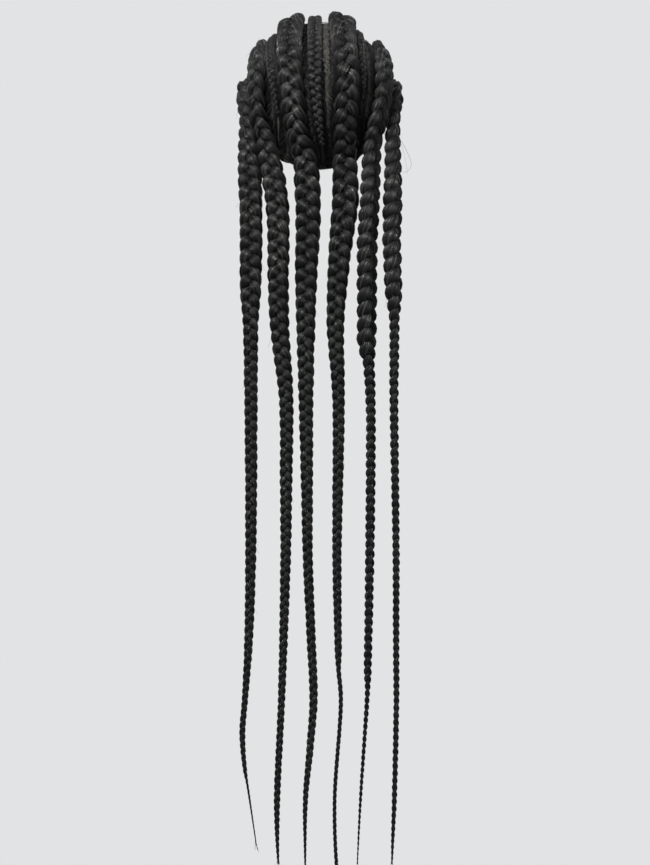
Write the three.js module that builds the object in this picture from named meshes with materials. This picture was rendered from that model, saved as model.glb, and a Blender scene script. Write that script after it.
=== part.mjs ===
// A long braided wig, in millimetres: a lace cap, six jumbo braids that start as cornrows on the cap
// and hang free from the nape, and three slim cornrows between them.
// +Z is up, +Y is the wearer's front and +X the wearer's right. The origin is the top of the cap's
// hollow, where the crown of the head bears.
import * as THREE from "three";

// The head that the cap fits, measured from its widest level.
const HEAD_HALF_BREADTH = 79;
const HEAD_FRONT = 92;
const HEAD_BACK = 97;
const CROWN_HEIGHT = 84;
const NAPE_REACH = 110;

// The lace cap, and the clearance between it and the hair that is sewn to it.
const CAP_WALL = 1.5;
const SEAT_GAP = 0.35;

// The jumbo braids. The flat side of a plait is wider than the plait is deep.
const JUMBO_WIDTH = 28;
const JUMBO_ROW_DEPTH = 13.5;
const FREE_DEPTH_SHARE = 0.72;
const FREE_LENGTH = 752;

// The slim cornrows.
const SLIM_WIDTH = 13;
const SLIM_ROW_DEPTH = 7;

// A plait's lobes follow each other down one edge at this distance plus this share of its width.
const LOBE_STEP = 4.6;
const LOBE_STEP_SHARE = 0.41;
// Half a strand's size as a share of half the plait's.
const STRAND_SHARE = 0.46;
// Thinner plaits than this are drawn as plain tapers, with this distance between sections.
const LOBED_WIDTH = 15;
const TAPER_STEP = 40;

const JUMBO_SIDES = 8;
const SLIM_SIDES = 6;
const CAP_SIDES = 36;
const CAP_RINGS = 8;

const degrees = THREE.MathUtils.degToRad;

// How far the cap's edge comes down from the crown, going round from the front to the nape.
const CAP_EDGE = [
  { around: 0, down: 62 },
  { around: 45, down: 70 },
  { around: 74, down: 96 },
  { around: 98, down: 91 },
  { around: 112, down: 103 },
  { around: 126, down: 118 },
  { around: 142, down: 134 },
  { around: 180, down: 140 },
];

// Where a cornrow thickens, as shares of its run from the hairline to its end and of its width:
// the two jumbo rows over the crown, the four on the sides, and the slim rows.
const ROW_GROWTH = [
  { along: 0, crown: 0.34, side: 0.3, slim: 0.45 },
  { along: 0.2, crown: 0.76, side: 0.62, slim: 0.72 },
  { along: 0.41, crown: 1.06, side: 0.84, slim: 0.95 },
  { along: 0.6, crown: 1.03, side: 1, slim: 1 },
  { along: 0.8, crown: 1, side: 0.99, slim: 1 },
  { along: 1, crown: 0.98, side: 0.98, slim: 0.35 },
];

// How far behind the head's middle the free lengths hang, as shares of HEAD_BACK, for the four
// middle braids and the two outer ones. A level is a share of FREE_LENGTH below the nape.
const SET_BACK = [
  { level: 0.04, middle: 0.87, outer: 0.75 },
  { level: 0.18, middle: 1.04, outer: 1.01 },
  { level: 0.24, middle: 1.08, outer: 1.05 },
  { level: 0.34, middle: 1.095, outer: 1.085 },
  { level: 1, middle: 1.1, outer: 1.1 },
];

// A row's places are degrees over the head from the front, and shares of the half breadth to the
// right. Down a free length, across counts braid widths to the right, and width is a share of
// JUMBO_WIDTH. turn is how far the plait's flat side faces away from straight back, in degrees,
// and grows and hang name its columns of the tables above.
const JUMBO_BRAIDS = [
  {
    row: [
      { over: 34, side: -0.91 },
      { over: 90, side: -0.985 },
      { over: 175, side: -0.975 },
      { over: 208, side: -0.925 },
    ],
    grows: "side",
    turn: -5,
    hang: "outer",
    free: [
      { level: 0.048, across: -2.68, width: 0.91 },
      { level: 0.179, across: -2.65, width: 0.84 },
      { level: 0.23, across: -2.65, width: 0.6 },
      { level: 0.337, across: -2.63, width: 0.52 },
      { level: 0.559, across: -2.64, width: 0.44 },
      { level: 0.68, across: -2.72, width: 0.35 },
      { level: 0.76, across: -2.85, width: 0.25 },
      { level: 0.816, across: -2.96, width: 0.24 },
      { level: 0.866, across: -2.86, width: 0.17 },
      { level: 0.884, across: -2.78, width: 0.1 },
      { level: 0.974, across: -2.42, width: 0.04 },
    ],
  },
  {
    row: [
      { over: 29, side: -0.65 },
      { over: 70, side: -0.75 },
      { over: 110, side: -0.78 },
      { over: 147, side: -0.79 },
      { over: 182, side: -0.785 },
      { over: 204, side: -0.76 },
      { over: 213, side: -0.7 },
    ],
    grows: "side",
    turn: -12,
    hang: "middle",
    free: [
      { level: 0.048, across: -1.66, width: 0.91 },
      { level: 0.18, across: -1.58, width: 0.81 },
      { level: 0.23, across: -1.54, width: 0.76 },
      { level: 0.337, across: -1.28, width: 0.56 },
      { level: 0.452, across: -1.28, width: 0.49 },
      { level: 0.559, across: -1.3, width: 0.42 },
      { level: 0.766, across: -1.46, width: 0.29 },
      { level: 0.909, across: -1.63, width: 0.26 },
      { level: 0.966, across: -1.62, width: 0.16 },
      { level: 1, across: -1.58, width: 0.08 },
    ],
  },
  {
    row: [
      { over: 28, side: -0.28 },
      { over: 75, side: -0.345 },
      { over: 120, side: -0.36 },
      { over: 148, side: -0.375 },
      { over: 171, side: -0.355 },
      { over: 195, side: -0.315 },
      { over: 206, side: -0.28 },
      { over: 217, side: -0.19 },
    ],
    grows: "crown",
    turn: -8,
    hang: "middle",
    free: [
      { level: 0.048, across: -0.45, width: 1.03 },
      { level: 0.18, across: -0.52, width: 0.83 },
      { level: 0.23, across: -0.53, width: 0.75 },
      { level: 0.337, across: -0.52, width: 0.58 },
      { level: 0.452, across: -0.48, width: 0.48 },
      { level: 0.559, across: -0.45, width: 0.4 },
      { level: 0.68, across: -0.32, width: 0.36 },
      { level: 0.766, across: -0.23, width: 0.33 },
      { level: 0.837, across: -0.37, width: 0.29 },
      { level: 0.909, across: -0.54, width: 0.21 },
      { level: 1.005, across: -0.55, width: 0.07 },
    ],
  },
  {
    row: [
      { over: 28, side: 0.25 },
      { over: 75, side: 0.28 },
      { over: 123, side: 0.285 },
      { over: 149, side: 0.305 },
      { over: 172, side: 0.35 },
      { over: 188, side: 0.325 },
      { over: 206, side: 0.305 },
      { over: 219, side: 0.31 },
    ],
    grows: "crown",
    turn: -8,
    hang: "middle",
    free: [
      { level: 0.048, across: 1, width: 1.06 },
      { level: 0.107, across: 0.83, width: 0.93 },
      { level: 0.18, across: 0.67, width: 0.77 },
      { level: 0.23, across: 0.61, width: 0.7 },
      { level: 0.337, across: 0.73, width: 0.49 },
      { level: 0.559, across: 0.67, width: 0.37 },
      { level: 0.7, across: 0.72, width: 0.28 },
      { level: 0.722, across: 0.73, width: 0.19 },
      { level: 0.766, across: 0.82, width: 0.175 },
      { level: 0.909, across: 0.58, width: 0.155 },
      { level: 1, across: 0.65, width: 0.15 },
      { level: 1.045, across: 0.8, width: 0.06 },
    ],
  },
  {
    row: [
      { over: 29, side: 0.65 },
      { over: 70, side: 0.75 },
      { over: 110, side: 0.79 },
      { over: 130, side: 0.81 },
      { over: 164, side: 0.81 },
      { over: 187, side: 0.795 },
      { over: 201, side: 0.735 },
      { over: 216, side: 0.67 },
    ],
    grows: "side",
    turn: 65,
    hang: "middle",
    free: [
      { level: 0.048, across: 1.94, width: 0.92 },
      { level: 0.107, across: 1.85, width: 0.92 },
      { level: 0.18, across: 1.825, width: 0.9 },
      { level: 0.259, across: 1.82, width: 0.86 },
      { level: 0.283, across: 1.88, width: 0.54 },
      { level: 0.337, across: 1.96, width: 0.45 },
      { level: 0.559, across: 1.93, width: 0.42 },
      { level: 0.728, across: 1.85, width: 0.35 },
      { level: 0.75, across: 1.845, width: 0.24 },
      { level: 0.909, across: 1.57, width: 0.14 },
      { level: 1, across: 1.45, width: 0.06 },
    ],
  },
  {
    row: [
      { over: 34, side: 0.91 },
      { over: 90, side: 0.985 },
      { over: 175, side: 0.98 },
      { over: 208, side: 0.935 },
    ],
    grows: "side",
    turn: 75,
    hang: "outer",
    free: [
      { level: 0.048, across: 2.85, width: 0.96 },
      { level: 0.107, across: 2.8, width: 0.93 },
      { level: 0.179, across: 2.85, width: 0.88 },
      { level: 0.225, across: 2.88, width: 0.5 },
      { level: 0.337, across: 2.86, width: 0.44 },
      { level: 0.559, across: 2.94, width: 0.35 },
      { level: 0.68, across: 2.94, width: 0.32 },
      { level: 0.766, across: 2.95, width: 0.29 },
      { level: 0.909, across: 2.87, width: 0.26 },
      { level: 0.975, across: 2.8, width: 0.15 },
      { level: 1, across: 2.78, width: 0.08 },
    ],
  },
];

// Each slim row's width is a share of SLIM_WIDTH.
const SLIM_ROWS = [
  {
    grows: "slim",
    width: 0.9,
    row: [
      { over: 30, side: -0.47 },
      { over: 70, side: -0.575 },
      { over: 110, side: -0.63 },
      { over: 137, side: -0.65 },
      { over: 171, side: -0.615 },
      { over: 187, side: -0.57 },
      { over: 196, side: -0.555 },
    ],
  },
  {
    grows: "slim",
    width: 1,
    row: [
      { over: 28, side: -0.02 },
      { over: 75, side: -0.05 },
      { over: 124, side: -0.063 },
      { over: 172, side: -0.055 },
      { over: 195, side: -0.02 },
      { over: 212, side: 0.035 },
    ],
  },
  {
    grows: "slim",
    width: 0.72,
    row: [
      { over: 30, side: 0.44 },
      { over: 70, side: 0.5 },
      { over: 110, side: 0.53 },
      { over: 145, side: 0.55 },
      { over: 167, side: 0.575 },
      { over: 187, side: 0.57 },
    ],
  },
];

// A named column of a table, read between its rows with no corners.
function readTable(table, key, column, at) {
  const next = table.findIndex((row) => row[key] >= at);
  if (next < 0) return table.at(-1)[column];
  if (next === 0) return table[0][column];
  const [low, high] = [table[next - 1], table[next]];
  const share = THREE.MathUtils.smoothstep(at, low[key], high[key]);
  return THREE.MathUtils.lerp(low[column], high[column], share);
}

// The point of the head in this direction from its middle, raised outward, and its outward normal.
function headPoint(direction, raised) {
  const across = HEAD_HALF_BREADTH + raised;
  const along = (direction.y > 0 ? HEAD_FRONT : HEAD_BACK) + raised;
  const tall = (direction.z > 0 ? CROWN_HEIGHT : NAPE_REACH) + raised;
  const unit = direction.clone().normalize();
  return {
    point: new THREE.Vector3(unit.x * across, unit.y * along, unit.z * tall - CROWN_HEIGHT),
    normal: new THREE.Vector3(unit.x / across, unit.y / along, unit.z / tall).normalize(),
  };
}

// The direction of a place on the head that is given as a row's places are.
function overHead(over, side) {
  const inner = Math.sqrt(1 - side * side);
  const turned = degrees(over);
  return new THREE.Vector3(side, Math.cos(turned) * inner, Math.sin(turned) * inner);
}

// The direction of a place given as degrees round from the front and degrees down from the crown.
function downHead(around, down) {
  return new THREE.Vector3(0, 0, 1)
    .applyAxisAngle(new THREE.Vector3(1, 0, 0), -degrees(down))
    .applyAxisAngle(new THREE.Vector3(0, 0, 1), -degrees(around));
}

// A closed solid through rings of equal counts, with a fan of triangles over each end. The fans
// meet at the given points, or else in the middle of their rings.
function loft(rings, peaks = []) {
  const sides = rings[0].length;
  const points = rings.flat();
  const faces = [];
  for (let ring = 0; ring + 1 < rings.length; ring++) {
    for (let side = 0; side < sides; side++) {
      const here = ring * sides + side;
      const beside = ring * sides + ((side + 1) % sides);
      faces.push(here, beside, here + sides, beside, beside + sides, here + sides);
    }
  }
  [rings[0], rings.at(-1)].forEach((ring, end) => {
    const first = end ? (rings.length - 1) * sides : 0;
    const middle = ring.reduce((sum, p) => sum.add(p), new THREE.Vector3()).divideScalar(sides);
    points.push(peaks[end] ?? middle);
    for (let side = 0; side < sides; side++) {
      const pair = [first + side, first + ((side + 1) % sides)];
      if (end === 0) pair.reverse();
      faces.push(...pair, points.length - 1);
    }
  });
  return new THREE.BufferGeometry().setFromPoints(points).setIndex(faces);
}

// The cap's wall: down the outside from the crown to the edge, and back up the inside.
function capGeometry() {
  const ringAt = (raised, share) =>
    Array.from({ length: CAP_SIDES }, (_, side) => {
      const around = (360 * side) / CAP_SIDES;
      const edge = readTable(CAP_EDGE, "around", "down", Math.min(around, 360 - around));
      return headPoint(downHead(around, edge * share), raised).point;
    });
  const shares = Array.from({ length: CAP_RINGS }, (_, ring) => (ring + 1) / CAP_RINGS);
  const outside = shares.map((share) => ringAt(CAP_WALL, share));
  const inside = shares.map((share) => ringAt(0, share)).reverse();
  const crown = new THREE.Vector3(0, 0, 1);
  const peaks = [headPoint(crown, CAP_WALL).point, headPoint(crown, 0).point];
  return loft([...outside, ...inside], peaks);
}

// Stations of a cornrow, lying on the cap at every few degrees of its run.
function rowStations({ row, grows }, fullWidth, fullDepth) {
  const places = new THREE.SplineCurve(row.map(({ over, side }) => new THREE.Vector2(over, side)));
  const [first, last] = [row[0].over, row.at(-1).over];
  return places.getPoints(row.length * 4).map(({ x: over, y: side }) => {
    const share = readTable(ROW_GROWTH, "along", grows, (over - first) / (last - first));
    const depth = fullDepth * Math.sqrt(share);
    const raised = CAP_WALL + SEAT_GAP + depth / 2;
    const { point, normal } = headPoint(overHead(over, side), raised);
    return { centre: point, normal, width: fullWidth * share, depth, seated: true };
  });
}

// Stations of a free length, from the nape down to the tip.
function freeStations({ turn, hang, free }) {
  const nape = headPoint(downHead(180, CAP_EDGE.at(-1).down), 0).point;
  const normal = new THREE.Vector3(Math.sin(degrees(turn)), -Math.cos(degrees(turn)), 0);
  return free.map(({ level, across, width }) => ({
    centre: new THREE.Vector3(
      across * JUMBO_WIDTH,
      -readTable(SET_BACK, "level", hang, level) * HEAD_BACK,
      nape.z - level * FREE_LENGTH,
    ),
    normal,
    width: width * JUMBO_WIDTH,
    depth: width * JUMBO_WIDTH * FREE_DEPTH_SHARE,
    seated: false,
  }));
}

// Short steps along a smooth line through the stations, with their other values read between them.
function followRoute(stations) {
  const centres = stations.map((station) => station.centre);
  const line = new THREE.CatmullRomCurve3(centres, false, "centripetal");
  const gaps = stations.length - 1;
  const gapSteps = 20;
  const steps = Array.from({ length: gaps * gapSteps + 1 }, (_, index) => {
    const gap = Math.min(Math.floor(index / gapSteps), gaps - 1);
    const share = index / gapSteps - gap;
    const [low, high] = [stations[gap], stations[gap + 1]];
    return {
      centre: line.getPoint(index / (gaps * gapSteps)),
      tangent: line.getTangent(index / (gaps * gapSteps)),
      normal: low.normal.clone().lerp(high.normal, share),
      width: THREE.MathUtils.lerp(low.width, high.width, share),
      depth: THREE.MathUtils.lerp(low.depth, high.depth, share),
      seated: low.seated && high.seated,
    };
  });
  steps.forEach((step, index) => {
    step.length = index ? step.centre.distanceTo(steps[index - 1].centre) : 0;
  });
  return steps;
}

// How far out a plait's surface lies at this angle of its section. Its three strands swing across
// and through the plait a third of a turn apart.
function plaitReach(angle, turned, halfWidth, halfDepth) {
  const strandWidth = halfWidth * STRAND_SHARE;
  const strandDepth = halfDepth * STRAND_SHARE;
  const [alongX, alongY] = [Math.cos(angle) / strandWidth, Math.sin(angle) / strandDepth];
  const steep = alongX ** 2 + alongY ** 2;
  const reaches = [0, 1, 2].map((strand) => {
    const phase = turned + (strand * 2 * Math.PI) / 3;
    const x = ((halfWidth - strandWidth) * Math.sin(phase)) / strandWidth;
    const y = ((halfDepth - strandDepth) * Math.sin(2 * phase)) / strandDepth;
    const toward = x * alongX + y * alongY;
    const inside = toward ** 2 - steep * (x ** 2 + y ** 2 - 1);
    return inside > 0 ? (toward + Math.sqrt(inside)) / steep : 0;
  });
  return Math.max(1 / Math.sqrt(steep), ...reaches);
}

// One section of a plait, across its route. A plain section has no lobes, and neither has the side
// of a seated one that lies on the cap.
function plaitRing(step, turned, sides, plain) {
  const { centre, tangent, normal, width, depth, seated } = step;
  const out = normal.clone().addScaledVector(tangent, -normal.dot(tangent)).normalize();
  const across = new THREE.Vector3().crossVectors(out, tangent);
  return Array.from({ length: sides }, (_, side) => {
    const angle = (2 * Math.PI * side) / sides;
    const smooth = plain || (seated && angle > Math.PI);
    const reach = smooth
      ? 1 / Math.hypot(Math.cos(angle) / (width / 2), Math.sin(angle) / (depth / 2))
      : plaitReach(angle, turned, width / 2, depth / 2);
    return centre
      .clone()
      .addScaledVector(across, reach * Math.cos(angle))
      .addScaledVector(out, reach * Math.sin(angle));
  });
}

// A plait along its stations: a section at each lobe of either edge, and plain ones where it is thin.
function plaitGeometry(stations, sides, lobedWidth) {
  const steps = followRoute(stations);
  const rings = [];
  let passed = 1;
  steps.forEach((step, index) => {
    const plain = step.width < lobedWidth && index > steps.length / 2;
    const lobeStep = LOBE_STEP + LOBE_STEP_SHARE * step.width;
    passed += step.length / (plain ? TAPER_STEP : lobeStep / 2);
    if (passed < 1 && index < steps.length - 1) return;
    passed -= 1;
    rings.push(plaitRing(step, ((1 + 2 * rings.length) * Math.PI) / 6, sides, plain));
  });
  return loft(rings);
}

function hairMesh(name, geometry) {
  const fibre = new THREE.MeshStandardMaterial({ color: 0x1b1a19, roughness: 0.45, metalness: 0 });
  const mesh = new THREE.Mesh(geometry, fibre);
  mesh.name = name;
  return mesh;
}

const wig = new THREE.Group();

const lace = new THREE.MeshStandardMaterial({ color: 0x161514, roughness: 0.9, metalness: 0 });
const cap = new THREE.Mesh(capGeometry(), lace);
cap.name = "lace_cap";
wig.add(cap);

JUMBO_BRAIDS.forEach((braid, index) => {
  const stations = [
    ...rowStations(braid, JUMBO_WIDTH, JUMBO_ROW_DEPTH),
    ...freeStations(braid),
  ];
  const geometry = plaitGeometry(stations, JUMBO_SIDES, LOBED_WIDTH);
  wig.add(hairMesh(`jumbo_braid_${index + 1}`, geometry));
});

SLIM_ROWS.forEach((slim, index) => {
  const stations = rowStations(slim, SLIM_WIDTH * slim.width, SLIM_ROW_DEPTH * slim.width);
  wig.add(hairMesh(`slim_cornrow_${index + 1}`, plaitGeometry(stations, SLIM_SIDES, 0)));
});

export default wig;
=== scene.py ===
"""A long braided wig: six jumbo braids and three slim cornrows plaited from synthetic hair, sewn to
a lace cap. Lengths are in metres."""

import math

import bpy
import numpy as np
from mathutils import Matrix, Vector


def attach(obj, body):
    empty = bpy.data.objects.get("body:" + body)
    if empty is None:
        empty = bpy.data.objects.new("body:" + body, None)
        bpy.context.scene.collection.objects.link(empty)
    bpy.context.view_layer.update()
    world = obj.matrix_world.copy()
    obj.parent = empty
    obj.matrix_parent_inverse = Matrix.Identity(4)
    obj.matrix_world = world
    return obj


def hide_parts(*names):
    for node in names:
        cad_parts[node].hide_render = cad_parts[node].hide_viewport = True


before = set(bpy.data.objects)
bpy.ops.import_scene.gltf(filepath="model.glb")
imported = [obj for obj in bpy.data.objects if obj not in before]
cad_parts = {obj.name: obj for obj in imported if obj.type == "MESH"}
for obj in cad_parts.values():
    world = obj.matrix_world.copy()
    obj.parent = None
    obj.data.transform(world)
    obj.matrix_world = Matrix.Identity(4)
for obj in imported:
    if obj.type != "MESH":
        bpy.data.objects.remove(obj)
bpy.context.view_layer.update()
bpy.ops.object.select_all(action="DESELECT")

MM = 0.001
THIRD_TURN = 2 * math.pi / 3

# The head that the cap fits, measured from its widest level.
HEAD_HALF_BREADTH = 79 * MM
HEAD_FRONT = 92 * MM
HEAD_BACK = 97 * MM
CROWN_HEIGHT = 84 * MM
NAPE_REACH = 110 * MM

# The cap's wall, the gap between it and the plaits sewn to it, and its hem, a flat oval that lies
# so many degrees in from the edge.
CAP_WALL = 1.5 * MM
SEAT_GAP = 0.35 * MM
HEM_HALF_WIDTH = 2.2 * MM
HEM_HALF_DEPTH = 1.3 * MM
HEM_INSET = 1.2
HEM_SIDES = 8

# The plaits: their full widths and depths, and each strand's share of the width.
JUMBO_WIDTH = 28 * MM
JUMBO_ROW_DEPTH = 13.5 * MM
FREE_DEPTH_SHARE = 0.72
FREE_LENGTH = 752 * MM
SLIM_WIDTH = 13 * MM
SLIM_ROW_DEPTH = 7 * MM
STRAND_SHARE = 0.46

# How the strands of each kind of plait are drawn: the sides of a strand, the steps in a lobe, a
# lobe's fixed length and share of the plait's width, and how far the locks stand out, as a share of
# the strand. Then, as shares of the plait's half depth, how far a strand rises on its lobe, and its
# own half depth in the middle and at the edge.
JUMBO_STRANDS = {"sides": 25, "lobe_steps": 7, "lobe": (4.6 * MM, 0.41), "ridge": 0.1}
FLAT_STRANDS = {**JUMBO_STRANDS, "lift_share": 0.5, "thin": 0.38, "full": 0.66}
ROUND_STRANDS = {**JUMBO_STRANDS, "lift_share": 0.3, "thin": 0.45, "full": 0.86}
SLIM_STRANDS = {
    "sides": 18, "lobe_steps": 8, "lobe": (4.4 * MM, 0.28), "ridge": 0.07,
    "lift_share": 0.55, "thin": 0.3, "full": 0.64,
}
# A braid turned further than this, in degrees, hangs edge on and is drawn rounder.
EDGE_ON = 60

# The fibre pattern's radius round a strand, and how much further along it each next strand starts.
FIBRE_RADIUS = 6 * MM
FIBRE_STAGGER = 0.37

# Where a loose hair's points lie, as shares of its length.
ALONG_HAIR = np.linspace(0, 1, 4)[:, None]

# The combed locks: how far apart they lie along a row, how far from it the longest start, and the
# shortest that is drawn.
LOCK_SPACING = 2.3 * MM
LOCK_REACH = 26 * MM
SHORTEST_LOCK = 4 * MM

# How far the cap's edge comes down from the crown, going round from the front to the nape:
# (around, down), in degrees.
CAP_EDGE = [(0, 62), (45, 70), (74, 96), (98, 91), (112, 103), (126, 118), (142, 134), (180, 140)]

# Where a cornrow thickens: (share of its run, share of its width).
CROWN_GROWTH = [(0, 0.34), (0.2, 0.8), (0.41, 1.14), (0.6, 1.1), (0.8, 1.03), (1, 0.98)]
SIDE_GROWTH = [(0, 0.3), (0.2, 0.62), (0.41, 0.84), (0.6, 1), (0.8, 0.99), (1, 0.98)]
OUTER_GROWTH = [
    (0, 0.3), (0.2, 0.44), (0.35, 0.6), (0.5, 0.84), (0.65, 0.98), (0.8, 0.99), (1, 0.98),
]
SLIM_GROWTH = [(0, 0.45), (0.2, 0.72), (0.41, 0.95), (0.6, 1), (0.8, 1), (0.9, 0.82), (1, 0.4)]

# How far behind the head's middle the free lengths hang: (level, share of HEAD_BACK).
SET_BACK_MIDDLE = [(0.04, 0.87), (0.18, 1.04), (0.24, 1.08), (0.34, 1.095), (1, 1.1)]
SET_BACK_OUTER = [(0.04, 0.75), (0.18, 1.01), (0.24, 1.05), (0.34, 1.085), (1, 1.1)]

# Each braid's places on the head, (degrees over it from the front, share of its half breadth to
# the right), its growth, the way its flat side turns, in degrees, its setting back, and its free
# length: (level, braid widths to the right, share of JUMBO_WIDTH).
JUMBO_BRAIDS = [
    (
        [(34, -0.91), (90, -0.99), (175, -0.975), (208, -0.925)],
        OUTER_GROWTH,
        -5,
        SET_BACK_OUTER,
        [
            (0.048, -2.68, 0.91), (0.179, -2.65, 0.84), (0.23, -2.65, 0.6), (0.337, -2.63, 0.52),
            (0.559, -2.64, 0.44), (0.68, -2.72, 0.35), (0.76, -2.85, 0.25), (0.816, -2.96, 0.24),
            (0.866, -2.86, 0.17), (0.884, -2.78, 0.1), (0.974, -2.42, 0.04),
        ],
    ),
    (
        [
            (29, -0.65), (70, -0.75), (110, -0.78), (147, -0.79), (182, -0.785), (204, -0.76),
            (213, -0.7),
        ],
        SIDE_GROWTH,
        -12,
        SET_BACK_MIDDLE,
        [
            (0.048, -1.66, 0.91), (0.18, -1.58, 0.81), (0.23, -1.54, 0.76), (0.337, -1.28, 0.56),
            (0.452, -1.28, 0.49), (0.559, -1.3, 0.42), (0.766, -1.46, 0.29), (0.909, -1.63, 0.26),
            (0.966, -1.62, 0.16), (1, -1.58, 0.08),
        ],
    ),
    (
        [
            (28, -0.28), (75, -0.345), (120, -0.36), (148, -0.375), (171, -0.355), (195, -0.315),
            (206, -0.28), (217, -0.19),
        ],
        CROWN_GROWTH,
        -8,
        SET_BACK_MIDDLE,
        [
            (0.048, -0.45, 1.03), (0.18, -0.52, 0.83), (0.23, -0.53, 0.75), (0.337, -0.52, 0.58),
            (0.452, -0.48, 0.48), (0.559, -0.45, 0.4), (0.68, -0.32, 0.36), (0.766, -0.23, 0.33),
            (0.837, -0.37, 0.29), (0.909, -0.54, 0.21), (1.005, -0.55, 0.07),
        ],
    ),
    (
        [
            (28, 0.25), (75, 0.28), (123, 0.285), (149, 0.305), (172, 0.35), (188, 0.325),
            (206, 0.305), (219, 0.31),
        ],
        CROWN_GROWTH,
        -8,
        SET_BACK_MIDDLE,
        [
            (0.048, 1, 1.06), (0.107, 0.83, 0.93), (0.18, 0.67, 0.77), (0.23, 0.61, 0.7),
            (0.337, 0.73, 0.49), (0.559, 0.67, 0.37), (0.7, 0.72, 0.28), (0.722, 0.73, 0.19),
            (0.766, 0.82, 0.175), (0.909, 0.58, 0.155), (1, 0.65, 0.15), (1.045, 0.8, 0.06),
        ],
    ),
    (
        [
            (29, 0.65), (70, 0.75), (110, 0.79), (130, 0.81), (164, 0.81), (187, 0.795),
            (201, 0.735), (216, 0.67),
        ],
        SIDE_GROWTH,
        65,
        SET_BACK_MIDDLE,
        [
            (0.048, 1.94, 0.92), (0.107, 1.85, 0.92), (0.18, 1.825, 0.9), (0.259, 1.82, 0.86),
            (0.283, 1.88, 0.54), (0.337, 1.96, 0.45), (0.559, 1.93, 0.42), (0.728, 1.85, 0.35),
            (0.75, 1.845, 0.24), (0.909, 1.57, 0.14), (1, 1.45, 0.06),
        ],
    ),
    (
        [(34, 0.91), (90, 0.99), (175, 0.98), (208, 0.935)],
        OUTER_GROWTH,
        75,
        SET_BACK_OUTER,
        [
            (0.048, 2.85, 0.96), (0.107, 2.8, 0.93), (0.179, 2.85, 0.88), (0.225, 2.88, 0.5),
            (0.337, 2.86, 0.44), (0.559, 2.94, 0.35), (0.68, 2.94, 0.32), (0.766, 2.95, 0.29),
            (0.909, 2.87, 0.26), (0.975, 2.8, 0.15), (1, 2.78, 0.08),
        ],
    ),
]

# Each slim row's share of SLIM_WIDTH and its places on the head.
SLIM_ROWS = [
    (
        0.9,
        [
            (30, -0.47), (70, -0.575), (110, -0.63), (137, -0.65), (171, -0.615), (187, -0.57),
            (196, -0.555),
        ],
    ),
    (1.25, [(28, -0.02), (75, -0.05), (124, -0.063), (172, -0.055), (195, -0.02), (212, 0.035)]),
    (0.72, [(30, 0.44), (70, 0.5), (110, 0.53), (145, 0.55), (167, 0.575), (187, 0.57)]),
]

# How many degrees the rows run on beyond their ends, to the nape's edge, for the combed hair.
JUMBO_BEYOND = 16
SLIM_BEYOND = (30, 16, 30)

# Bare width in millimetres along a parting: (share of the run, width). Below nothing the locks from
# either side lie over each other.
CLOSED = [(0, -1.2), (1, -1.2)]
CROWN_PARTING = [(0, 4), (0.3, 11), (0.48, 13), (0.62, 10), (0.72, 4), (0.85, 0.5), (1, -1)]
SIDE_PARTING = [(0, 2), (0.3, 4.5), (0.55, 6.5), (0.7, 4), (0.8, 0.6), (1, -1)]
NAPE_PARTING = [(0, -1), (0.45, 0.8), (0.7, 0.6), (0.8, -1), (1, -1)]

# The partings that show lace or are not in the middle, by the places in LINES of a row and of the
# one beside it: the parting's share of the gap from the row, and its bare width.
PARTINGS = {
    (7, 3): (0.35, CROWN_PARTING), (3, 7): (0.65, CROWN_PARTING),
    (8, 4): (0.4, SIDE_PARTING), (4, 8): (0.6, SIDE_PARTING),
    (1, 2): (0.5, NAPE_PARTING), (2, 1): (0.5, NAPE_PARTING),
}

# One long hair that has slipped out in a loop beside the last braid, and another beside it.
STRAY_LOOP = [
    (0.085, -0.046, -0.129), (0.0915, -0.049, -0.138), (0.0965, -0.053, -0.149),
    (0.1005, -0.057, -0.16), (0.0995, -0.06, -0.167), (0.0955, -0.061, -0.171),
    (0.091, -0.061, -0.1715), (0.084, -0.06, -0.169),
]
STRAY_END = [
    (0.085, -0.048, -0.127), (0.0915, -0.052, -0.145), (0.0945, -0.055, -0.157),
    (0.0965, -0.058, -0.1735),
]


def place_object(name, data):
    """A new object of the scene that holds this data."""
    placed = bpy.data.objects.new(name, data)
    bpy.context.scene.collection.objects.link(placed)
    return placed


# The photograph's camera: level, a little over two metres behind the wig.
camera_data = bpy.data.cameras.new("camera")
camera = place_object("camera", camera_data)
camera.location = (0.0059, -2.307, -0.457)
camera.rotation_euler = (math.pi / 2, 0, 0)
camera_data.lens = 85.25
camera_data.sensor_width = 36
camera_data.clip_end = 100
bpy.context.scene.camera = camera


def ease(share):
    """A share of the way from one value to the next, with no corner at either end."""
    return share * share * (3 - 2 * share)


def read_table(table, at):
    """A table's value at a place, read between its rows with no corners."""
    places, values = np.array(table, float).T
    at = np.clip(at, places[0], places[-1])
    low = np.clip(np.searchsorted(places, at, side="left") - 1, 0, len(places) - 2)
    share = ease((at - places[low]) / (places[low + 1] - places[low]))
    return values[low] + (values[low + 1] - values[low]) * share


def read_points(at, places, points):
    """Points read between the places where they are given."""
    return np.stack([np.interp(at, places, column) for column in points.T], -1)


def unit(vectors):
    """Vectors made one long."""
    return vectors / np.linalg.norm(vectors, axis=-1, keepdims=True)


def run_length(line):
    """How far along a line each of its points lies."""
    return np.concatenate([[0], np.cumsum(np.linalg.norm(np.diff(line, axis=0), axis=1))])


def on_head(directions, raised):
    """Points of the head in these directions from its middle, raised outward, and the normals."""
    x, y, z = unit(directions).T
    across = HEAD_HALF_BREADTH + raised
    along = np.where(y > 0, HEAD_FRONT, HEAD_BACK) + raised
    tall = np.where(z > 0, CROWN_HEIGHT, NAPE_REACH) + raised
    points = np.stack([x * across, y * along, z * tall - CROWN_HEIGHT], -1)
    return points, unit(np.stack([x / across, y / along, z / tall], -1))


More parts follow.
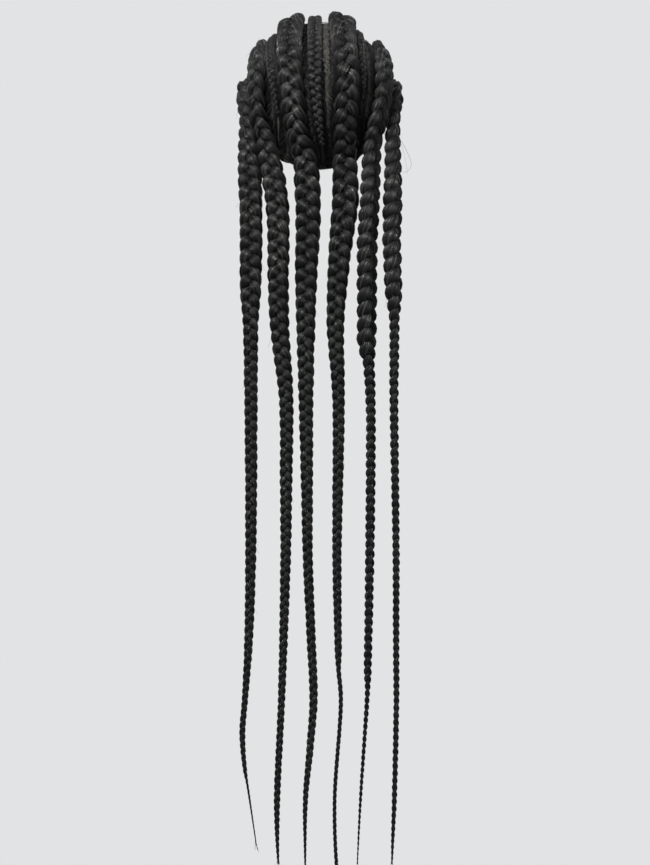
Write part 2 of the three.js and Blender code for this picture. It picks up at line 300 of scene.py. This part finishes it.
def over_head(over, side):
    """Directions of places on the head that are given as a row's places are."""
    inner = np.sqrt(1 - side * side)
    turned = np.radians(over)
    return np.stack([side, np.cos(turned) * inner, np.sin(turned) * inner], -1)


def down_head(around, down):
    """Directions of places given as degrees round from the front and down from the crown."""
    around, down = np.radians(around), np.radians(down)
    level = np.sin(down)
    return np.stack([np.sin(around) * level, np.cos(around) * level, np.cos(down)], -1)


def cubic(start, end, leaving, arriving, t):
    """Points of the cubic between two points, for its speeds at both of them."""
    return (
        (2 * start - 2 * end + leaving + arriving) * t**3
        + (3 * end - 3 * start - 2 * leaving - arriving) * t**2
        + leaving * t
        + start
    )


def even_spline(points, count):
    """Points along a uniform Catmull-Rom line, at even steps of its number."""
    points = np.array(points, float)
    last = len(points) - 1
    at = np.linspace(0, last, count)
    gap = np.minimum(at.astype(int), last)
    p0, p1 = points[np.maximum(gap - 1, 0)], points[gap]
    p2, p3 = points[np.minimum(gap + 1, last)], points[np.minimum(gap + 2, last)]
    return cubic(p1, p2, (p2 - p0) / 2, (p3 - p1) / 2, (at - gap)[:, None])


def smooth_line(points, steps):
    """Points along a centripetal Catmull-Rom line, with so many steps in each gap."""
    before, after = 2 * points[:1] - points[1:2], 2 * points[-1:] - points[-2:-1]
    padded = np.concatenate([before, points, after])
    p0, p1, p2, p3 = padded[:-3], padded[1:-2], padded[2:-1], padded[3:]
    roots = np.sqrt(np.linalg.norm(np.diff(padded, axis=0), axis=1))[:, None]
    d0, d1, d2 = roots[:-2], roots[1:-1], roots[2:]
    leaving = ((p1 - p0) / d0 - (p2 - p0) / (d0 + d1) + (p2 - p1) / d1) * d1
    arriving = ((p2 - p1) / d1 - (p3 - p1) / (d1 + d2) + (p3 - p2) / d2) * d1
    t = (np.arange(steps) / steps)[None, :, None]
    line = cubic(p1[:, None], p2[:, None], leaving[:, None], arriving[:, None], t)
    return np.concatenate([line.reshape(-1, 3), points[-1:]])


def row_stations(row, growth, full_width, full_depth):
    """A cornrow's centres, outward normals, widths and depths on the cap."""
    over, side = even_spline(row, len(row) * 4 + 1).T
    share = read_table(growth, (over - row[0][0]) / (row[-1][0] - row[0][0]))
    depth = full_depth * np.sqrt(share)
    centres, normals = on_head(over_head(over, side), CAP_WALL + SEAT_GAP + depth / 2)
    return centres, normals, full_width * share, depth


def free_stations(turn, set_back, free):
    """A free length's centres, outward normals, widths and depths, from the nape to the tip."""
    nape = on_head(down_head(np.array([180.0]), np.array([CAP_EDGE[-1][1]])), 0)[0][0]
    level, across, width = np.array(free).T
    back = read_table(set_back, level) * HEAD_BACK
    centres = np.stack([across * JUMBO_WIDTH, -back, nape[2] - level * FREE_LENGTH], -1)
    turn = math.radians(turn)
    facing = np.array([math.sin(turn), -math.cos(turn), 0])
    normals = np.repeat(facing[None], len(free), 0)
    width = width * JUMBO_WIDTH
    return centres, normals, width, width * FREE_DEPTH_SHARE


def follow(stations, lobe_steps, lobe):
    """Even steps of a plait's turning along its stations, for its lobe's fixed length and share of
    the width: (places, turned, outs, acrosses, half widths, half depths, distances)."""
    centres, normals, widths, depths = stations
    steps = 20
    line = smooth_line(centres, steps)
    at = np.arange(len(line)) / steps
    whole = np.arange(len(centres))
    width, depth = np.interp(at, whole, widths), np.interp(at, whole, depths)
    gone = run_length(line)
    rate = THIRD_TURN / (lobe[0] + lobe[1] * width)
    turned = np.concatenate([[0], np.cumsum((rate[1:] + rate[:-1]) / 2 * np.diff(gone))])
    even = np.linspace(0, turned[-1], int(turned[-1] / THIRD_TURN * lobe_steps))
    place = read_points(even, turned, line)
    tangent = unit(np.gradient(place, axis=0))
    normal = read_points(even, turned, read_points(at, whole, normals))
    out = unit(normal - tangent * np.sum(normal * tangent, -1, keepdims=True))
    half_wide, half_deep = (np.interp(even, turned, size) / 2 for size in (width, depth))
    across = np.cross(out, tangent)
    return place, even, out, across, half_wide, half_deep, np.interp(even, turned, gone)


class Bundle:
    """Closed tubes of hair that are gathered into one mesh. The points keep two attributes that the
    hair's materials read: their place in the fibre pattern, and the way round their strand."""

    def __init__(self):
        self.points, self.faces, self.fibres, self.rounds, self.count = [], [], [], [], 0

    def tube(
        self, centres, wide, deep, half_wide, half_deep, sides, fibre_radius, along, ridges=None,
        shift=0,
    ):
        """Adds a tube of oval sections about its centres, closed at both ends."""
        count = len(centres)
        side = np.arange(sides)
        angles = side * 2 * math.pi / sides
        cos, sin = np.cos(angles)[None, :, None], np.sin(angles)[None, :, None]
        swell = 1 if ridges is None else ridges[:, :, None]
        rings = centres[:, None] + swell * (
            cos * wide[:, None] * half_wide[:, None, None]
            + sin * deep[:, None] * half_deep[:, None, None]
        )
        points = np.concatenate([rings.reshape(-1, 3), centres[:1], centres[-1:]])
        rounds = np.roll(rings, -1, axis=1) - np.roll(rings, 1, axis=1)
        fibre = np.empty((count, sides, 3))
        fibre[..., 0] = fibre_radius * np.cos(angles) + shift
        fibre[..., 1] = fibre_radius * np.sin(angles)
        fibre[..., 2] = along[:, None]
        ends = np.array([[shift, 0, along[0]], [shift, 0, along[-1]]])
        # Quads between the sections, and at each end a fan of triangles, which are kept as quads
        # with the last corner twice.
        after = (side + 1) % sides
        section = np.arange(count - 1)[:, None] * sides
        here, beside = section + side, section + after
        quads = np.stack([here, here + sides, beside + sides, beside], -1).reshape(-1, 4)
        start, foot = np.full(sides, count * sides), (count - 1) * sides
        first_fan = np.stack([side, after, start, start], -1)
        last_fan = np.stack([after + foot, side + foot, start + 1, start + 1], -1)
        self.points.append(points)
        self.faces.append(np.concatenate([quads, first_fan, last_fan]) + self.count)
        self.fibres.append(np.concatenate([fibre.reshape(-1, 3), ends]))
        self.rounds.append(np.concatenate([rounds.reshape(-1, 3), wide[:1], wide[-1:]]))
        self.count += len(points)

    def mesh(self, name, material, node, slot_name):
        """The gathered tubes as one smooth piece."""
        points, faces = np.concatenate(self.points), np.concatenate(self.faces)
        triangle = faces[:, 2] == faces[:, 3]
        sizes = np.where(triangle, 3, 4)
        used = np.repeat(~triangle, 4) | np.tile([True, True, True, False], len(faces))
        corners = faces.reshape(-1)[used]
        data = bpy.data.meshes.new(name)
        data.vertices.add(len(points))
        data.vertices.foreach_set("co", points.astype(np.float32).ravel())
        data.loops.add(len(corners))
        data.loops.foreach_set("vertex_index", corners.astype(np.int32))
        data.polygons.add(len(faces))
        data.polygons.foreach_set("loop_start", (np.cumsum(sizes) - sizes).astype(np.int32))
        data.update(calc_edges=True)
        data.polygons.foreach_set("use_smooth", np.ones(len(faces), bool))
        fields = {
            "fibre": np.concatenate(self.fibres),
            "round": unit(np.concatenate(self.rounds)),
        }
        for field, values in fields.items():
            attribute = data.attributes.new(field, "FLOAT_VECTOR", "POINT")
            attribute.data.foreach_set("vector", values.astype(np.float32).ravel())
        data.materials.append(material)
        piece = place_object(name, data)
        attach(piece, "root")
        if node:
            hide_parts(node)


def linear(code):
    """An sRGB hex colour as linear red, green, blue and alpha."""
    parts = [int(code[i : i + 2], 16) / 255 for i in (1, 3, 5)]
    return [p / 12.92 if p <= 0.04045 else ((p + 0.055) / 1.055) ** 2.4 for p in parts] + [1]


def add_node(tree, kind, settings=None, values=None, links=None):
    """A shader node with its settings, its sockets' values and its incoming links."""
    node = tree.nodes.new(kind)
    for key, value in (settings or {}).items():
        setattr(node, key, value)
    for key, value in (values or {}).items():
        node.inputs[key].default_value = value
    for key, source in (links or {}).items():
        tree.links.new(source, node.inputs[key])
    return node


def set_stops(ramp, stops):
    """Gives a colour ramp these (place, hex colour) stops."""
    stack = ramp.color_ramp.elements
    while len(stack) < len(stops):
        stack.new(1)
    for element, (place, code) in zip(stack, stops):
        element.position = place
        element.color = linear(code)


def new_material(name):
    """An empty node material and its tree."""
    material = bpy.data.materials.new(name)
    material.use_nodes = True
    material.node_tree.nodes.clear()
    return material, material.node_tree


def show_shader(tree, shader):
    """Joins a shader to the material's output."""
    add_node(tree, "ShaderNodeOutputMaterial", links={"Surface": shader.outputs[0]})


def black_hair(name, dull, satin, shine, painted_highlight):
    """Modacrylic braiding hair: straight crimped fibre drawn tight into strands. Fine streaks run
    along each strand, dull in their gaps and satin on their backs. Painted shade makes the gaps
    blacker and a painted highlight makes the backs grey."""
    material, tree = new_material(name)
    place = add_node(tree, "ShaderNodeAttribute", {"attribute_name": "fibre"})
    # Locks 3.5 mm wide and 100 mm long, finer ones of 1.2 mm, and fibres, which are drawn 0.6 mm
    # wide to show.
    heights = []
    for across, along in ((290, 10), (850, 16), (1600, 30)):
        scaled = add_node(
            tree, "ShaderNodeMapping",
            values={"Scale": (across, across, along)},
            links={"Vector": place.outputs["Vector"]},
        )
        noise = add_node(
            tree, "ShaderNodeTexNoise",
            values={"Scale": 1, "Detail": 2, "Roughness": 0.6},
            links={"Vector": scaled.outputs[0]},
        )
        heights.append(noise.outputs["Fac"])
    locks = add_node(
        tree, "ShaderNodeMix", {"data_type": "FLOAT"}, {"Factor": 0.62},
        {"A": heights[0], "B": heights[1]},
    )
    height = add_node(
        tree, "ShaderNodeMix", {"data_type": "FLOAT"}, {"Factor": 0.3},
        {"A": locks.outputs[0], "B": heights[2]},
    )
    # The mixed noise keeps near 0.5, so the colours and the shine change close about it.
    # The ramp's colours are painted light: painted shade, blacker, in the streaks' gaps, and a
    # painted highlight, grey, on their backs.
    colour = add_node(tree, "ShaderNodeValToRGB", links={"Fac": height.outputs[0]})
    set_stops(colour, [(0.46, "#010101"), (0.52, "#030303"), (0.585, painted_highlight)])
    rough = add_node(
        tree, "ShaderNodeMapRange",
        values={"From Min": 0.44, "From Max": 0.56, "To Min": dull, "To Max": satin},
        links={"Value": height.outputs[0]},
    )
    bump = add_node(
        tree, "ShaderNodeBump",
        values={"Strength": 1, "Distance": 0.004},
        links={"Height": height.outputs[0]},
    )
    # The satin light lies across the fibres, so it is stretched round each strand.
    round_strand = add_node(tree, "ShaderNodeAttribute", {"attribute_name": "round"})
    shader = add_node(
        tree, "ShaderNodeBsdfPrincipled",
        values={"IOR": 1.5, "Specular IOR Level": shine, "Anisotropic": 0.8},
        links={
            "Base Color": colour.outputs[0],
            "Roughness": rough.outputs[0],
            "Normal": bump.outputs[0],
            "Tangent": round_strand.outputs["Vector"],
        },
    )
    show_shader(tree, shader)
    return material


def cap_lace(name, threads_code, holes_code, knot_size):
    """Dark nylon lace: a fine net with the hair tied to it in small black knots, brownish where it
    shows between the rows and paler on its plain side, inside the cap."""
    material, tree = new_material(name)
    place = add_node(tree, "ShaderNodeTexCoord")
    # Meshes of 1.3 mm, and a knot about every 2.5 mm, drawn coarser than the real ones to show.
    net = add_node(
        tree, "ShaderNodeTexVoronoi", {"feature": "DISTANCE_TO_EDGE"},
        {"Scale": 770, "Randomness": 0.35},
        {"Vector": place.outputs["Object"]},
    )
    knots = add_node(
        tree, "ShaderNodeTexVoronoi", {"feature": "F1"},
        {"Scale": 400, "Randomness": 1},
        {"Vector": place.outputs["Object"]},
    )
    threads = add_node(
        tree, "ShaderNodeMapRange",
        values={"From Min": 0.02, "From Max": 0.16, "To Min": 1, "To Max": 0},
        links={"Value": net.outputs["Distance"]},
    )
    dark = add_node(
        tree, "ShaderNodeMapRange",
        values={"From Min": knot_size, "From Max": knot_size * 1.8, "To Min": 1, "To Max": 0},
        links={"Value": knots.outputs["Distance"]},
    )
    base = add_node(tree, "ShaderNodeValToRGB", links={"Fac": threads.outputs[0]})
    set_stops(base, [(0, holes_code), (1, threads_code)])
    mixed = add_node(
        tree, "ShaderNodeMix", {"data_type": "RGBA"}, {"B": linear("#090908")},
        {"Factor": dark.outputs[0], "A": base.outputs[0]},
    )
    bump = add_node(
        tree, "ShaderNodeBump",
        values={"Strength": 0.6, "Distance": 0.0003},
        links={"Height": threads.outputs[0]},
    )
    shader = add_node(
        tree, "ShaderNodeBsdfPrincipled",
        values={"IOR": 1.53, "Roughness": 0.8, "Specular IOR Level": 0.15},
        links={"Base Color": mixed.outputs["Result"], "Normal": bump.outputs[0]},
    )
    show_shader(tree, shader)
    return material


# The last colour of each is the painted highlight on the streaks' backs, dimmer on the tight hair
# and dimmest on the combed hair.
hair = black_hair("modacrylic_braiding_hair", 0.92, 0.18, 0.085, "#1a1a19")
tight_hair = black_hair("modacrylic_hair_drawn_tight", 0.92, 0.14, 0.12, "#131312")
combed = black_hair("modacrylic_hair_combed_flat", 0.9, 0.5, 0.05, "#0b0b0b")
lace = cap_lace("dark_nylon_lace", "#0f0e0c", "#1e1c18", 0.3)
lace_inside = cap_lace("dark_nylon_lace_inside", "#2c2822", "#423d35", 0.12)


def ridge_pattern(rng, turned, sides, strength):
    """Locks that run along a strand and drift slowly, as shares of its size: one row for each
    section and one column for each side."""
    knots = max(int(turned[-1] / 3), 2) + 1
    coarse = rng.uniform(-1, 1, (knots, sides))
    at = np.linspace(0, knots - 1, len(turned))
    low = np.minimum(at.astype(int), knots - 2)
    share = ease((at - low)[:, None])
    return 1 + strength * (coarse[low] * (1 - share) + coarse[low + 1] * share)


def plait(bundle, stations, rng, sides, lobe_steps, lobe, ridge, lift_share, thin, full):
    """Three strands that cross over each other down the stations. Gives back each strand's
    centres, run, wide and deep sides and half sizes, and the plait's middle."""
    middle, turned, out, across, half_wide, half_deep, gone = follow(stations, lobe_steps, lobe)
    strands = []
    for strand in range(3):
        phase = turned + strand * THIRD_TURN
        # A strand is drawn in and flat where it crosses the middle, widest on its lobe and round
        # where it turns at the plait's edge.
        at_edge = np.sin(phase) ** 2
        spread = 0.92 + 0.08 * at_edge + 0.1 * np.sin(2 * phase) ** 2
        strand_wide = half_wide * STRAND_SHARE * spread
        strand_deep = half_deep * (thin + (full - thin) * at_edge)
        swing = half_wide * (1 - STRAND_SHARE) * np.sin(phase)
        lift = half_deep * lift_share * np.sin(2 * phase)
        centres = middle + across * swing[:, None] + out * lift[:, None]
        run = unit(np.gradient(centres, axis=0))
        wide = unit(np.cross(out, run))
        deep = np.cross(run, wide)
        ridges = ridge_pattern(rng, turned, sides, ridge)
        bundle.tube(
            centres, wide, deep, strand_wide, strand_deep, sides, FIBRE_RADIUS,
            gone + strand * FIBRE_STAGGER, ridges, rng.uniform(0, 1),
        )
        strands.append((centres, run, wide, deep, strand_wide, strand_deep, middle))
    return strands


def loose_hair(bundle, line, radius, rng):
    """One bare hair along a smooth line through a few points, thinner towards its end."""
    line = smooth_line(line, 2)
    run = unit(np.gradient(line, axis=0))
    # A slant that hairs seldom run along, to turn the three sides from.
    slant = np.array([0.3, 0.2, 0.93])
    wide = unit(np.cross(run, slant[None]))
    deep = np.cross(run, wide)
    size = radius * np.linspace(1, 0.5, len(line))
    gone = np.linspace(0, 0.02, len(line))
    bundle.tube(line, wide, deep, size, size, 3, 0.2 * MM, gone, shift=rng.uniform(0, 1))


def flyaways(bundle, strands, rng, count, longest):
    """Short hairs that slip out of the strands and lie off them at a low angle, more of them near
    the top and shorter ones where the plait is thin."""
    for _ in range(count):
        centres, run, wide, deep, half_wide, half_deep, middle = strands[rng.integers(3)]
        at = 2 + int((len(centres) - 32) * rng.uniform(0, 1) ** 2.5)
        angle = rng.uniform(0, 2 * math.pi)
        aside = wide[at] * math.cos(angle) + deep[at] * math.sin(angle)
        if np.dot(aside, centres[at] - middle[at]) < 0:
            aside = -aside
        start = centres[at] + wide[at] * np.dot(aside, wide[at]) * half_wide[at] * 0.9
        start = start + deep[at] * np.dot(aside, deep[at]) * half_deep[at] * 0.9
        length = longest * rng.uniform(0.35, 1) * min(half_wide[at] / (5 * MM), 1)
        lift = length * rng.uniform(0.08, 0.3)
        curl = np.cross(run[at], aside) * length * rng.uniform(-0.25, 0.25)
        sag = np.array([0, 0, -1]) * length * 0.25
        line = start + run[at] * length * ALONG_HAIR * (1 - 0.3 * ALONG_HAIR)
        line = line + aside * lift * ALONG_HAIR + (curl + sag) * ALONG_HAIR**2
        loose_hair(bundle, line, rng.uniform(0.1, 0.17) * MM, rng)


def tip_hairs(bundle, strands, rng):
    """The last thin hairs, which run on past a braid's tip."""
    middle = strands[0][-1]
    down = unit(middle[-1] - middle[-12])
    for _ in range(9):
        at = len(middle) - rng.integers(2, 26)
        start = middle[at] + rng.uniform(-0.5, 0.5, 3) * MM
        beyond = np.linalg.norm(middle[-1] - middle[at]) + rng.uniform(0, 9) * MM
        bend = rng.uniform(-2.5, 2.5, 3) * MM
        line = start + down * beyond * ALONG_HAIR + bend * ALONG_HAIR**2
        loose_hair(bundle, line, rng.uniform(0.15, 0.22) * MM, rng)


def head_directions(points):
    """The directions from the head's middle, as on_head takes them, of points near its surface."""
    x, y, z = points.T
    along = np.where(y > 0, HEAD_FRONT, HEAD_BACK)
    tall = np.where(z > -CROWN_HEIGHT, CROWN_HEIGHT, NAPE_REACH)
    return unit(np.stack([x / HEAD_HALF_BREADTH, y / along, (z + CROWN_HEIGHT) / tall], -1))


def inside_edge(directions, margin):
    """Directions held on the cap, at least so many degrees in from its edge."""
    around = np.degrees(np.arctan2(directions[:, 0], directions[:, 1]))
    down = np.degrees(np.arccos(np.clip(directions[:, 2], -1, 1)))
    edge = read_table(CAP_EDGE, np.abs(around)) - margin
    return down_head(around, np.minimum(down, edge))


def row_line(row, growth, full_width, beyond):
    """A row's even steps along the cap's surface, run on so many degrees beyond its end: (points,
    tangents, the way to its right, widths)."""
    steps = 8
    end = (row[-1][0] + beyond, row[-1][1])
    centres, _, widths, _ = row_stations([*row, end], growth, full_width, 0)
    line = smooth_line(centres, steps)
    gone = run_length(line)
    even = np.arange(0, gone[-1], LOCK_SPACING)
    points = read_points(even, gone, line)
    line_widths = np.interp(np.arange(len(line)) / steps, np.arange(len(widths)), widths)
    points, normals = on_head(head_directions(points), CAP_WALL)
    tangents = unit(np.gradient(points, axis=0))
    return points, tangents, np.cross(normals, tangents), np.interp(even, gone, line_widths)


def flat_lock(bundle, foot, bend, head, size, rng):
    """One lock combed flat over the cap from its foot, past a bend, to its head."""
    count = 5
    shares = np.linspace(0, 1, count)[:, None]
    line = foot * (1 - shares) ** 2 + bend * 2 * shares * (1 - shares) + head * shares**2
    raised = 0.2 + rng.uniform(0.7, 1.3) * np.sin(np.pi * shares[:, 0] * 0.8)
    line, normals = on_head(inside_edge(head_directions(line), 0.7), CAP_WALL + raised * MM)
    gone = np.linalg.norm(line[-1] - line[0])
    if gone < SHORTEST_LOCK:
        return
    run = unit(np.gradient(line, axis=0))
    wide = unit(np.cross(normals, run))
    half_wide = size * rng.uniform(0.8, 1.2) * np.array([0.7, 1, 1.05, 0.95, 0.8])
    half_deep = np.full(count, 0.5 * MM)
    bundle.tube(
        line, wide, np.cross(run, wide), half_wide, half_deep, 6, 1.6 * MM,
        np.linspace(0, gone, count), shift=rng.uniform(0, 1),
    )


def hairline(bundle, lines, arounds, sweep, rng):
    """Locks combed from these places on the cap's edge back into the nearest row, swept along it by
    so many millimetres at least and at most."""
    points = np.concatenate([line[0] for line in lines])
    runs = np.concatenate([line[1] for line in lines])
    for around in arounds:
        edge = read_table(CAP_EDGE, abs(around)) - rng.uniform(0.4, 1.6)
        foot = on_head(down_head(np.array([around]), np.array([edge])), CAP_WALL)[0][0]
        nearest = np.linalg.norm(points - foot, axis=1).argmin()
        head = points[nearest] + runs[nearest] * rng.uniform(*sweep) * MM
        bend = foot + (head - foot) * 0.5 - runs[nearest] * 3 * MM
        flat_lock(bundle, foot, bend, head, 2 * MM, rng)


def lock_feet(lines, number, hand):
    """How far to one hand of a row its locks start, along the row: at the parting from the nearest
    row on that hand, less half the parting's bare width."""
    points, _, rights, widths = lines[number]
    reach = LOCK_REACH + widths / 2
    bare = np.full(len(points), CLOSED[0][1] * MM)
    along = np.linspace(0, 1, len(points))
    for other, (others, _, _, other_widths) in enumerate(lines):
        if other == number:
            continue
        apart = others[None] - points[:, None]
        far = np.linalg.norm(apart, axis=-1)
        beside = np.einsum("ijk,ik->ij", apart, hand * rights) > 0.6 * far
        gap = np.where(beside, far - other_widths[None] / 2, np.inf) - widths[:, None] / 2
        share, parting = PARTINGS.get((number, other), (0.5, CLOSED))
        middle = widths / 2 + np.maximum(gap.min(axis=1), 0) * share
        nearer = middle < reach
        reach = np.where(nearer, middle, reach)
        bare = np.where(nearer, read_table(parting, along) * MM, bare)
    return reach - bare / 2


def combed_hair(bundle, lines, rng):
    """Locks combed flat over the cap, from the partings back into the rows on either hand."""
    for number, (points, tangents, rights, widths) in enumerate(lines):
        for hand in (-1, 1):
            feet = lock_feet(lines, number, hand)
            for at in range(1, len(points)):
                lag = rng.uniform(8, 12) * MM
                root = max(feet[at], widths[at] * 0.3) + rng.uniform(-1.1, 0.9) * MM
                foot = points[at] - tangents[at] * lag + hand * rights[at] * root
                bend = points[at] - tangents[at] * lag * 0.45 + hand * rights[at] * root * 0.62
                head = points[at] + hand * rights[at] * widths[at] * 0.26
                flat_lock(bundle, foot, bend, head, 1.6 * MM, rng)


def new_growth(bundle, lines, hands, far, count, rng):
    """Short fine hairs that lie loose over the partings and the combed hair beside these rows."""
    for points, tangents, rights, widths in lines:
        for _ in range(count):
            at = rng.integers(3, len(points) - 2)
            aside = rng.choice(hands) * (widths[at] / 2 + rng.uniform(-1 * MM, far))
            root = points[at] + rights[at] * aside
            way = tangents[at] + rights[at] * rng.uniform(-0.9, 0.9)
            bend = rights[at] * rng.uniform(-0.4, 0.4)
            length = rng.uniform(6, 13) * MM
            line = root + way * length * ALONG_HAIR + bend * length * ALONG_HAIR**2
            lift = CAP_WALL + (0.5 + rng.uniform(0.5, 2) * ALONG_HAIR[:, 0]) * MM
            line = on_head(inside_edge(head_directions(line), 0.5), lift)[0]
            loose_hair(bundle, line, rng.uniform(0.1, 0.16) * MM, rng)


for number, (row, growth, turn, set_back, free) in enumerate(JUMBO_BRAIDS, 1):
    on_cap = row_stations(row, growth, JUMBO_WIDTH, JUMBO_ROW_DEPTH)
    hanging = free_stations(turn, set_back, free)
    stations = [np.concatenate(pair) for pair in zip(on_cap, hanging)]
    chance = np.random.default_rng(number)
    bundle = Bundle()
    drawn = ROUND_STRANDS if turn > EDGE_ON else FLAT_STRANDS
    strands = plait(bundle, stations, chance, **drawn)
    flyaways(bundle, strands, chance, 150, 16 * MM)
    tip_hairs(bundle, strands, chance)
    bundle.mesh(f"jumbo_braid_{number}_hair", hair, f"jumbo_braid_{number}", "hair")

for number, (width, row) in enumerate(SLIM_ROWS, 1):
    stations = row_stations(row, SLIM_GROWTH, SLIM_WIDTH * width, SLIM_ROW_DEPTH * width)
    chance = np.random.default_rng(20 + number)
    bundle = Bundle()
    strands = plait(bundle, stations, chance, **SLIM_STRANDS)
    flyaways(bundle, strands, chance, 40, 9 * MM)
    bundle.mesh(f"slim_cornrow_{number}_hair", tight_hair, f"slim_cornrow_{number}", "hair")

# The hair on the cap: locks combed from the partings and the hairline, with longer ones at the
# temples, and short loose hairs, more of them over the two wide partings.
LINES = [row_line(row, growth, JUMBO_WIDTH, JUMBO_BEYOND) for row, growth, *_ in JUMBO_BRAIDS]
LINES += [
    row_line(row, SLIM_GROWTH, SLIM_WIDTH * width, beyond)
    for (width, row), beyond in zip(SLIM_ROWS, SLIM_BEYOND)
]
bundle = Bundle()
combed_hair(bundle, LINES, np.random.default_rng(40))
hairline(bundle, LINES, np.arange(-140, 140, 0.9), (8, 22), np.random.default_rng(42))
for temple in (np.arange(-80, -44, 1.2), np.arange(44, 80, 1.2)):
    hairline(bundle, LINES[1:5], temple, (14, 34), np.random.default_rng(44))
new_growth(bundle, LINES, [-1, 1], 9 * MM, 100, np.random.default_rng(41))
new_growth(bundle, LINES[3:5], [-1], 13 * MM, 170, np.random.default_rng(43))
new_growth(bundle, LINES[7:8], [1], 14 * MM, 150, np.random.default_rng(45))
bundle.mesh("combed_hair", combed, None, "hair")

# The lace cap: a half ball drawn down to the cap's edge, given its thickness outward.
bpy.ops.mesh.primitive_uv_sphere_add(segments=72, ring_count=40, radius=1)
cap = bpy.context.object
cap.name = "lace_cap_net"
bpy.ops.object.mode_set(mode="EDIT")
bpy.ops.mesh.select_all(action="DESELECT")
bpy.ops.mesh.select_mode(type="FACE")
bpy.ops.object.mode_set(mode="OBJECT")
for polygon in cap.data.polygons:
    polygon.select = polygon.center.z < -0.001
bpy.ops.object.mode_set(mode="EDIT")
bpy.ops.mesh.delete(type="FACE")
bpy.ops.object.mode_set(mode="OBJECT")
ball = np.empty(len(cap.data.vertices) * 3)
cap.data.vertices.foreach_get("co", ball)
ball = ball.reshape(-1, 3)
around = np.degrees(np.arctan2(ball[:, 0], ball[:, 1]))
down = np.degrees(np.arccos(np.clip(ball[:, 2], -1, 1))) / 90
shell = on_head(down_head(around, read_table(CAP_EDGE, np.abs(around)) * down), 0)[0]
cap.data.vertices.foreach_set("co", shell.ravel())
cap.data.update()
wall = cap.modifiers.new("wall", "SOLIDIFY")
wall.thickness = CAP_WALL
wall.offset = 1
wall.material_offset = 1
cap.data.materials.append(lace)
cap.data.materials.append(lace_inside)
bpy.ops.object.modifier_apply(modifier="wall")
bpy.ops.object.shade_smooth()
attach(cap, "root")
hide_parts("lace_cap")

# The hem at the cap's edge: the lace turned over once, so that it doesn't fray.
around = np.arange(0, 360, 2.5)
down = read_table(CAP_EDGE, np.minimum(around, 360 - around)) - HEM_INSET
edge, outward = on_head(down_head(around, down), CAP_WALL / 2)
run = unit(np.roll(edge, -1, 0) - np.roll(edge, 1, 0))
inward = unit(np.cross(outward, run))
hem = []
for angle in np.arange(HEM_SIDES) * 2 * math.pi / HEM_SIDES:
    aside = inward * HEM_HALF_WIDTH * math.cos(angle)
    hem.append(edge + aside + outward * HEM_HALF_DEPTH * math.sin(angle))
hem = np.stack(hem, 1).reshape(-1, 3)
section, side = np.meshgrid(np.arange(len(edge)), np.arange(HEM_SIDES), indexing="ij")
here, after = section * HEM_SIDES, (section + 1) % len(edge) * HEM_SIDES
beside = (side + 1) % HEM_SIDES
quads = np.stack([here + side, here + beside, after + beside, after + side], -1).reshape(-1, 4)
hem_mesh = bpy.data.meshes.new("cap_hem")
hem_mesh.from_pydata(hem.tolist(), [], quads.tolist())
hem_mesh.update()
hem_piece = place_object("cap_hem", hem_mesh)
bpy.context.view_layer.objects.active = hem_piece
hem_piece.select_set(True)
bpy.ops.object.mode_set(mode="EDIT")
bpy.ops.mesh.select_all(action="SELECT")
bpy.ops.mesh.normals_make_consistent(inside=False)
bpy.ops.object.mode_set(mode="OBJECT")
bpy.ops.object.shade_smooth()
hem_piece.data.materials.append(lace)
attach(hem_piece, "root")

bundle = Bundle()
chance = np.random.default_rng(60)
loose_hair(bundle, np.array(STRAY_LOOP), 0.2 * MM, chance)
loose_hair(bundle, np.array(STRAY_END), 0.14 * MM, chance)
bundle.mesh("stray_hairs", hair, None, "hair")

# A pale floor under the hanging tips, and soft studio light.
bpy.ops.mesh.primitive_circle_add(vertices=128, radius=8.5, fill_type="NGON", location=(0, 0, -3))
floor = bpy.context.object
floor.name = "floor"
pale, pale_tree = new_material("matt_pale_paint")
paint = {"Base Color": linear("#e3e4e5"), "Roughness": 0.9}
show_shader(pale_tree, add_node(pale_tree, "ShaderNodeBsdfPrincipled", values=paint))
floor.data.materials.append(pale)

world = bpy.data.worlds.new("studio")
bpy.context.scene.world = world
world.use_nodes = True
sky = world.node_tree.nodes["Background"]
sky.inputs["Color"].default_value = linear("#f3f4f5")
sky.inputs["Strength"].default_value = 0.85


def soft_light(name, place, size, power):
    """A square soft box that faces the middle of the wig."""
    bpy.ops.object.light_add(type="AREA", location=place)
    light = bpy.context.object
    light.name = name
    light.data.size = size
    light.data.energy = power
    aim = Vector((0, 0, -0.35)) - light.location
    light.rotation_euler = aim.to_track_quat("-Z", "Y").to_euler()


soft_light("key", (-0.62, -1.6, 1.25), 0.75, 325)
soft_light("fill", (1.7, -1.9, 0.3), 1.0, 42)
soft_light("top", (0.3, 0.5, 1.7), 1.2, 12)
bpy.context.scene.view_settings.view_transform = "Standard"
